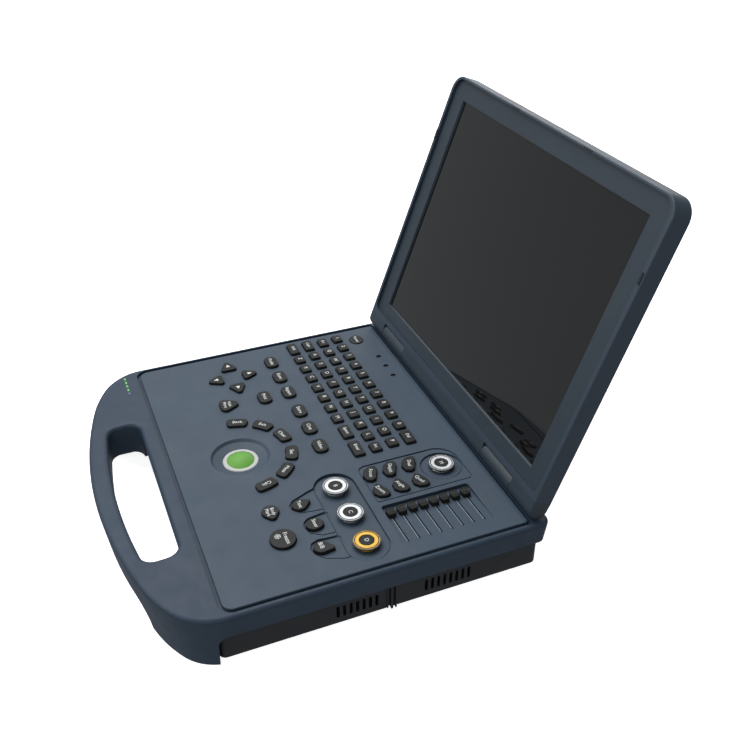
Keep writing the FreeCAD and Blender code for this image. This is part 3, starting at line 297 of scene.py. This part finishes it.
SCREEN = screen_face("screen_dark_glass")
INK = ink_and_painted_highlight("legend_white", srgb(190, 193, 193))
PRINT = ink_and_painted_highlight("print_dark", srgb(26, 31, 37))
# Painted highlight colour for the lines on the slider slot edges and the bezel's lower edge.
PAINTED_EDGE_HIGHLIGHT = ink_and_painted_highlight("slot_edge_pale", srgb(112, 120, 128))

FINISHES = {
    "upper_housing": SHELL, "control_panel": PANEL, "lower_housing": TRAY,
    "hinge_knuckles": BEZEL, "lid_back_cover": LID_SHELL, "lid_chin": BEZEL,
    "lid_bezel": BEZEL, "lid_bumpers": PAD, "rubber_feet": RUBBER,
    "screen_glass": SCREEN, "lcd_panel": DARK, "battery_pack": DARK, "fan_frame": DARK,
    "fan_rotor": DARK, "slider_tracks": DARK, "probe_connectors": DARK,
    "io_connectors": DARK, "trackball_socket": DARK, "encoder_bodies": STEEL,
    "hinge_pins": STEEL, "lid_hinge_brackets": STEEL, "housing_screws": STEEL,
    "main_board": BOARD, "keypad_board": BOARD, "front_end_module": SHIELD,
    "power_module": SHIELD, "heat_sink": SINK, "indicator_lenses": LENS,
    "trackball": BALL, "trackball_ring": RING,
    "mode_dial_1": SILVER, "mode_dial_2": SILVER, "mode_dial_3": GOLD, "mode_dial_4": SILVER,
}


def dress_nodes():
    """Main finish of every CAD node; a node that is not listed is a key."""
    for name, node in NODES.items():
        node.data.materials.clear()
        node.data.materials.append(FINISHES.get(name, KEYS))


def paint_faces(name, finish, chosen):
    """Second finish on the faces of a node that pass the test."""
    mesh = NODES[name].data
    mesh.materials.append(finish)
    index = len(mesh.materials) - 1
    for face in mesh.polygons:
        if chosen(face.center):
            face.material_index = index


KNOB_COUNT = 4
BUTTON_EDGE = 6.4
CAP_EDGE = 11.9
CAP_SKIN = 0.6
FOOT_RING_TOP, FOOT_RING_BOTTOM, FOOT_RING_INSIDE = 3.4, 4.9, 8.0


def blacken_knob(name):
    """Bright cap and foot ring; the sides, the waist and the shaft are black plastic."""
    low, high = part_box(name)
    middle = (low + high) / 2.0

    def black(point):
        radius = math.hypot(point.x - middle.x, point.y - middle.y) / MM
        below_top = (high.z - point.z) / MM
        on_cap = below_top < CAP_SKIN and BUTTON_EDGE < radius < CAP_EDGE
        at_foot = FOOT_RING_TOP < below_top < FOOT_RING_BOTTOM
        on_foot_ring = at_foot and radius > FOOT_RING_INSIDE
        return not (on_cap or on_foot_ring)

    paint_faces(name, WAIST, black)


DOT_ROW_GAP = 24.8 * MM
DOT_ROW_LEFT, DOT_ROW_RIGHT = -116 * MM, -68 * MM
DOT_REACH = 3.2 * MM
DOT_TOP, DOT_DEPTH = 0.1 * MM, 1.8 * MM


def darken_dots():
    """The three blind dots behind the number keys are dark."""
    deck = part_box("control_panel")[1].z
    row_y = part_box("key_row_d")[1].y + DOT_ROW_GAP

    def in_dot(point):
        near_row = abs(point.y - row_y) < DOT_REACH and DOT_ROW_LEFT < point.x < DOT_ROW_RIGHT
        return near_row and deck - DOT_DEPTH < point.z < deck - DOT_TOP

    paint_faces("control_panel", WAIST, in_dot)


def tint_last_lamp():
    """The lamp at the right end of the row is blue."""
    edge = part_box("indicator_lenses")[1].x - 5.0 * MM
    paint_faces("indicator_lenses", LENS_BLUE, lambda point: point.x > edge)


# ---------------------------------------------------------------- reading the CAD pieces

def solids_of(name):
    """Box of every separate solid in a node, from its welded vertices."""
    mesh = NODES[name].data
    parent = {}

    def find(key):
        while parent[key] != key:
            parent[key] = parent[parent[key]]
            key = parent[key]
        return key

    def weld(index):
        key = tuple(round(value, 6) for value in mesh.vertices[index].co)
        parent.setdefault(key, key)
        return key

    for face in mesh.polygons:
        keys = [weld(index) for index in face.vertices]
        for other in keys[1:]:
            parent[find(other)] = find(keys[0])
    groups = {}
    for key in list(parent):
        groups.setdefault(find(key), []).append(key)
    boxes = []
    for points in groups.values():
        low = Vector([min(p[i] for p in points) for i in range(3)])
        high = Vector([max(p[i] for p in points) for i in range(3)])
        boxes.append((low, high))
    return sorted(boxes, key=lambda pair: (pair[0].x + pair[1].x))


def top_centre(pair):
    """Middle of the upper side of a box."""
    low, high = pair
    return Vector(((low.x + high.x) / 2.0, (low.y + high.y) / 2.0, high.z))


# ---------------------------------------------------------------- legends

class Marks:
    """Gathers flat marks that ride on one body, then makes one mesh of them."""

    def __init__(self):
        self.points = {}
        self.faces = {}

    def add(self, key, points, faces):
        start = len(self.points.setdefault(key, []))
        self.points[key].extend(points)
        self.faces.setdefault(key, []).extend(tuple(start + i for i in face) for face in faces)

    def prism(self, key, outline, place, turn=0.0):
        """Thin plate with the given outline in millimetres, laid at a place."""
        rotate = Matrix.Rotation(math.radians(turn), 4, "Z")
        count = len(outline)
        points = []
        for level in (LEGEND_LIFT, LEGEND_LIFT + LEGEND_DEPTH):
            for x, y in outline:
                flat = rotate @ Vector((x * MM, y * MM, 0.0))
                points.append(place + flat + Vector((0, 0, level)))
        faces = [tuple(range(count))[::-1], tuple(range(count, 2 * count))]
        for i in range(count):
            following = (i + 1) % count
            faces.append((i, following, count + following, count + i))
        self.add(key, points, faces)

    def plate(self, key, corners, normal):
        """Thin plate over four corners that go round it, standing off along its normal."""
        points = []
        for lift in (LEGEND_LIFT, LEGEND_LIFT + LEGEND_DEPTH):
            points.extend(corner + normal * lift for corner in corners)
        sides = [(0, 1, 5, 4), (1, 2, 6, 5), (2, 3, 7, 6), (3, 0, 4, 7)]
        self.add(key, points, [(3, 2, 1, 0), (4, 5, 6, 7)] + sides)

    def ring(self, key, inner, outer, place, count=72):
        """Flat ring with radii in millimetres, centred on a place."""
        points = []
        for level in (LEGEND_LIFT, LEGEND_LIFT + LEGEND_DEPTH):
            for radius in (inner, outer):
                for i in range(count):
                    angle = 2.0 * math.pi * i / count
                    x, y = radius * math.cos(angle) * MM, radius * math.sin(angle) * MM
                    points.append(place + Vector((x, y, level)))
        inner_low, outer_low, inner_high, outer_high = [k * count for k in range(4)]
        faces = []
        for i in range(count):
            j = (i + 1) % count
            faces.append((inner_high + i, outer_high + i, outer_high + j, inner_high + j))
            faces.append((inner_low + j, outer_low + j, outer_low + i, inner_low + i))
            faces.append((outer_low + i, outer_low + j, outer_high + j, outer_high + i))
            faces.append((inner_low + j, inner_low + i, inner_high + i, inner_high + j))
        self.add(key, points, faces)

    def bar(self, key, x0, x1, y0, y1, place, turn=0.0):
        """Thin rectangular plate with its sides in millimetres."""
        self.prism(key, [(x0, y0), (x1, y0), (x1, y1), (x0, y1)], place, turn)

    def text(self, key, words, size, place, turn=0.0, width=None):
        """Centred letters, size in millimetres, narrowed to a width if asked."""
        curve = bpy.data.curves.new("letters", "FONT")
        curve.body = words
        curve.size = size * MM
        curve.extrude = LEGEND_DEPTH / 2.0
        curve.offset = 0.004 * size * MM
        curve.resolution_u = 3
        curve.align_x = "CENTER"
        curve.align_y = "CENTER"
        holder = bpy.data.objects.new("letters", curve)
        bpy.context.scene.collection.objects.link(holder)
        bpy.context.view_layer.update()
        evaluated = holder.evaluated_get(bpy.context.evaluated_depsgraph_get())
        mesh = bpy.data.meshes.new_from_object(evaluated)
        span = max(v.co.x for v in mesh.vertices) - min(v.co.x for v in mesh.vertices)
        narrow = min(1.0, width * MM / span) if width else 1.0
        move = (
            Matrix.Translation(place + Vector((0, 0, LEGEND_LIFT + LEGEND_DEPTH / 2.0)))
            @ Matrix.Rotation(math.radians(turn), 4, "Z")
            @ Matrix.Diagonal((narrow, 1.0, 1.0, 1.0))
        )
        points = [move @ v.co for v in mesh.vertices]
        self.add(key, points, [tuple(face.vertices) for face in mesh.polygons])
        bpy.data.objects.remove(holder)
        bpy.data.meshes.remove(mesh)
        bpy.data.curves.remove(curve)

    def finish(self, finish_material, prefix):
        """One piece for each body, riding on it."""
        for key, points in self.points.items():
            mesh = bpy.data.meshes.new(prefix + "_" + key)
            mesh.from_pydata(points, [], self.faces[key])
            mesh.materials.append(finish_material)
            piece = bpy.data.objects.new(prefix + "_" + key, mesh)
            bpy.context.scene.collection.objects.link(piece)
            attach(piece, key)


inks = Marks()
prints = Marks()
# Painted highlight lines on edges that catch the light.
edges = Marks()

ROW_LEGENDS = {
    "key_row_d": ["1", "2", "3", "4", "5", "6", "7", "8", "9", "0", "Del"],
    "key_row_c": ["Esc", "Q", "W", "E", "R", "T", "Y", "U", "I", "O", "P"],
    "key_row_b": ["Caps", "A", "S", "D", "F", "G", "H", "J", "K", "L", "Ins"],
    "key_row_a": ["Shift", "Z", "X", "C", "V", "B", "N", "M", "Space", "Enter"],
}


LETTER_SIZE, WORD_SIZE = 5.6, 4.6
KEY_MARGIN = 3.6


def letter_rows():
    """A letter, digit or word on every key of the four rows."""
    for node, legends in ROW_LEGENDS.items():
        for pair, words in zip(solids_of(node), legends):
            place = top_centre(pair) + Vector((-0.4 * MM, 0.5 * MM, 0.0))
            size = LETTER_SIZE if len(words) == 1 else WORD_SIZE
            width = pair[1].x / MM - pair[0].x / MM - KEY_MARGIN
            inks.text(BODY_OF[node], words, size, place, width=width)


PRESETS = ["Probe", "Exam", "Report", "Print", "Store", "Cine", "Video"]


def preset_legends():
    """A word on every preset key."""
    for pair, words in zip(solids_of("preset_keys"), PRESETS):
        inks.text(BODY_OF["preset_keys"], words, 5.2, top_centre(pair), width=13.5)


def arrow_legends():
    """A triangle that points outwards on every cursor key."""
    triangle = [(-2.2, -2.1), (2.6, 0.0), (-2.2, 2.1)]
    for name, turn in (("right", 0), ("up", 90), ("left", 180), ("down", 270)):
        node = "arrow_key_" + name
        inks.prism(BODY_OF[node], triangle, top_centre(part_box(node)), turn)


ARC_WORDS = ["Back", "Exit", "Clear", "Set", "Meas", "Calc"]


def arc_legends():
    """A word on every key of the arc, turned with the key."""
    ball_low, ball_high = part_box("trackball")
    hub = (ball_low + ball_high) / 2.0
    for pair, words in zip(solids_of("arc_keys"), ARC_WORDS):
        place = top_centre(pair)
        angle = math.degrees(math.atan2(place.y - hub.y + 4.6 * MM, place.x - hub.x))
        inks.text(BODY_OF["arc_keys"], words, 5.0, place, angle - 90.0, width=12.0)


def paddle_legends():
    """A word on every paddle-shaped key, turned with its column."""
    words = iter(["Dual", "Depth", "Focus", "Quad", "Angle", "Zoom"])
    pairs = solids_of("paddle_keys")
    for column, turn in ((pairs[:3], -18.0), (pairs[3:], 18.0)):
        for pair in sorted(column, key=lambda item: -item[0].y):
            inks.text(BODY_OF["paddle_keys"], next(words), 4.8, top_centre(pair), turn, width=12.0)


def function_legends():
    """Words on the menu key, the map key and the three tear-shaped keys."""
    body = BODY_OF["function_keys"]
    menu, tear_left, map_key, tear_mid, tear_right = solids_of("function_keys")
    if map_key[0].y > tear_left[0].y:
        tear_left, map_key = map_key, tear_left
    low_line = Vector((0, -2.6 * MM, 0))
    high_line = Vector((0, 1.9 * MM, 0))
    menu_place = top_centre(menu) + Vector((0, -1.4 * MM, 0))
    inks.text(body, "Main", 4.6, menu_place + high_line, width=9.0)
    inks.text(body, "Menu", 4.6, menu_place + low_line, width=11.0)
    inks.text(body, "Body", 4.6, top_centre(map_key) + high_line, width=11.0)
    inks.text(body, "Mark", 4.6, top_centre(map_key) + low_line, width=11.0)
    inks.text(body, "Text", 4.8, top_centre(tear_left) + Vector((0, -1.8 * MM, 0)), width=10.5)
    inks.text(body, "Steer", 4.8, top_centre(tear_mid), width=11.0)
    right_place = top_centre(tear_right) + Vector((-1.0 * MM, -1.8 * MM, 0))
    inks.text(body, "B/B", 5.2, right_place, width=10.5)


def freeze_legend():
    """A word and an ice crystal on the freeze key."""
    body = BODY_OF["freeze_key"]
    place = top_centre(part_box("freeze_key"))
    inks.text(body, "Freeze", 5.2, place + Vector((1.0 * MM, 2.8 * MM, 0)), width=15.0)
    crystal = place + Vector((-3.2 * MM, -3.6 * MM, 0))
    for i in range(3):
        inks.bar(body, -2.9, 2.9, -0.28, 0.28, crystal, 60.0 * i)
    for i in range(6):
        turn = Matrix.Rotation(math.radians(60.0 * i), 4, "Z")
        tip = crystal + turn @ Vector((1.7 * MM, 0, 0))
        inks.bar(body, 0.0, 1.3, -0.2, 0.2, tip, 60.0 * i + 50.0)
        inks.bar(body, 0.0, 1.3, -0.2, 0.2, tip, 60.0 * i - 50.0)


def knob_legends():
    """A letter on the push button of every knob."""
    for i, letter in enumerate(["B", "C", "D", "M"], start=1):
        node = "mode_button_%d" % i
        inks.text(BODY_OF[node], letter, 5.2, top_centre(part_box(node)))


def knob_rings():
    """Two dark inlaid rings on every knob cap."""
    for i in range(1, KNOB_COUNT + 1):
        node = "mode_dial_%d" % i
        place = top_centre(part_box(node))
        prints.ring(BODY_OF[node], 9.4, 10.3, place)
        prints.ring(BODY_OF[node], 11.1, 11.98, place)


def power_legend():
    """A word on the power button."""
    place = top_centre(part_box("power_button"))
    inks.text(BODY_OF["power_button"], "Power", 4.6, place, width=12.0)


def slider_scale():
    """Printed scale line behind the sliders, with a block in its middle."""
    low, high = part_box("slider_tracks")
    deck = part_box("control_panel")[1].z
    place = Vector((low.x + 21.0 * MM, high.y + 11.8 * MM, deck - 0.02 * MM))
    prints.bar("base", -18.0, -6.5, -0.25, 0.25, place)
    prints.bar("base", 6.5, 17.0, -0.25, 0.25, place)
    prints.bar("base", -4.5, 4.5, -1.1, 1.1, place)
    prints.bar("base", 17.0, 17.6, -2.0, 2.0, place)


def panel_height(x, y):
    """Height of the panel's upper surface at a place."""
    panel = NODES["control_panel"]
    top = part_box("control_panel")[1].z
    place = panel.matrix_world.inverted() @ Vector((x, y, top + 0.05))
    point = panel.ray_cast(place, Vector((0, 0, -1)))[1]
    return (panel.matrix_world @ point).z


def painted_slot_highlights():
    """Painted highlight along the lower edge of each slider slot, where its bevel would catch
    light; it follows the sloping floor.
    """
    for i in range(1, 9):
        low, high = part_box("slider_cap_%d" % i)
        y = (low.y + high.y) / 2.0 - 1.05 * MM
        x0, x1 = high.x - 2.0 * MM, high.x + 31.5 * MM
        z0, z1 = panel_height(x0, y), panel_height(x1, y)
        ends = ((x0, -0.3, z0), (x1, -0.3, z1), (x1, 0.3, z1), (x0, 0.3, z0))
        corners = [Vector((x, y + dy * MM, z)) for x, dy, z in ends]
        edges.plate("base", corners, Vector((0, 0, 1)))


def painted_chin_highlight():
    """Painted highlight line along the lower edge of the bezel, where it steps down to the chin.
    """
    mesh = NODES["lid_bezel"].data
    matrix = NODES["lid_bezel"].matrix_world
    front = max(mesh.polygons, key=lambda face: face.area)
    normal = (matrix.to_3x3() @ front.normal).normalized()
    upward = normal.cross(Vector((1, 0, 0))).normalized()
    if upward.z < 0.0:
        upward = -upward
    plane = normal.dot(matrix @ front.center)
    corners = [matrix @ v.co for v in mesh.vertices]
    flat = [p for p in corners if abs(normal.dot(p) - plane) < 0.2 * MM]
    lowest = min(flat, key=lambda p: upward.dot(p))
    x0 = min(p.x for p in flat) + 12.0 * MM
    x1 = max(p.x for p in flat) - 12.0 * MM
    corners = []
    for x, rise in ((x0, 0.2), (x1, 0.2), (x1, 1.1), (x0, 1.1)):
        spot = Vector((x, lowest.y, lowest.z)) + upward * (rise * MM)
        corners.append(spot + normal * (plane - normal.dot(spot)))
    edges.plate(BODY_OF["lid_bezel"], corners, normal)


def lamp_symbols():
    """Small printed sign behind each status lamp."""
    for pair in solids_of("indicator_lenses"):
        place = top_centre(pair) + Vector((1.0 * MM, 5.2 * MM, 0.0))
        prints.bar("base", -1.1, 1.1, 0.5, 0.9, place)
        prints.bar("base", -0.9, -0.3, -0.9, 0.1, place)
        prints.bar("base", 0.3, 0.9, -0.9, 0.1, place)


# ---------------------------------------------------------------- stage, light, camera

def make_stage():
    """Plain pale floor."""
    bpy.ops.mesh.primitive_plane_add(size=24.0, location=(0, 0, 0))
    floor = bpy.context.object
    floor.name = "stage_floor"
    paint = Paint("floor_pale")
    paint.colour(paint.mix(paint.noise(3.0), srgb(218, 218, 218), srgb(222, 222, 222)))
    paint.set("Roughness", 0.9)
    paint.set("Specular IOR Level", 0.0)
    paint.set("Emission Color", (1.0, 1.0, 1.0, 1.0))
    paint.set("Emission Strength", 0.86)
    floor.data.materials.append(paint.material)
    floor.visible_diffuse = False
    floor.visible_glossy = False


def area_light(name, place, size, power, target=(0.0, 0.0, 0.08)):
    """Soft rectangular lamp that faces a target."""
    data = bpy.data.lights.new(name, "AREA")
    data.shape = "RECTANGLE"
    data.size, data.size_y = size
    data.energy = power
    light = bpy.data.objects.new(name, data)
    light.location = place
    aim = Vector(target) - Vector(place)
    light.rotation_euler = aim.to_track_quat("-Z", "Y").to_euler()
    bpy.context.scene.collection.objects.link(light)
    return light


def make_light():
    """Even room light, a large key light, and weaker lights in front, aside and behind."""
    world = bpy.data.worlds.new("soft_room")
    world.use_nodes = True
    background = world.node_tree.nodes["Background"]
    background.inputs["Color"].default_value = (0.93, 0.97, 1.0, 1.0)
    background.inputs["Strength"].default_value = 0.42
    bpy.context.scene.world = world
    area_light("top_softbox", (-1.1, -0.3, 2.4), (2.4, 2.4), 90.0)
    area_light("rim_light", (-1.4, 1.33, 0.95), (1.2, 0.8), 11.0, (0.0, 0.25, 0.35))
    area_light("front_softbox", (-0.7, -2.4, 1.5), (2.0, 1.6), 28.0)
    area_light("side_fill", (2.2, -1.2, 1.1), (1.6, 1.4), 14.0)


CAMERA_PLACE = (0.6589, -0.22935, 0.5804)
CAMERA_BACK = Vector((0.7733, -0.3172, 0.5490))
CAMERA_LENS = 44.13


def make_camera():
    """Camera in front of the object, on its right and above it."""
    data = bpy.data.cameras.new("view")
    data.lens = CAMERA_LENS
    data.sensor_width = 36.0
    data.clip_end = 60.0
    camera = bpy.data.objects.new("view", data)
    camera.location = CAMERA_PLACE
    camera.rotation_euler = (-CAMERA_BACK).to_track_quat("-Z", "Y").to_euler()
    bpy.context.scene.collection.objects.link(camera)
    bpy.context.scene.camera = camera


def main():
    scene = bpy.context.scene
    scene.view_settings.view_transform = "Standard"
    dress_nodes()
    for i in range(1, KNOB_COUNT + 1):
        blacken_knob("mode_dial_%d" % i)
    darken_dots()
    tint_last_lamp()
    letter_rows()
    preset_legends()
    arrow_legends()
    arc_legends()
    paddle_legends()
    function_legends()
    freeze_legend()
    knob_legends()
    knob_rings()
    power_legend()
    slider_scale()
    painted_slot_highlights()
    painted_chin_highlight()
    lamp_symbols()
    inks.finish(INK, "legend")
    # Painted highlight lines on the slot edges and the bezel's lower edge.
    edges.finish(PAINTED_EDGE_HIGHLIGHT, "slot_edge")
    prints.finish(PRINT, "print")
    make_stage()
    make_light()
    make_camera()


main()
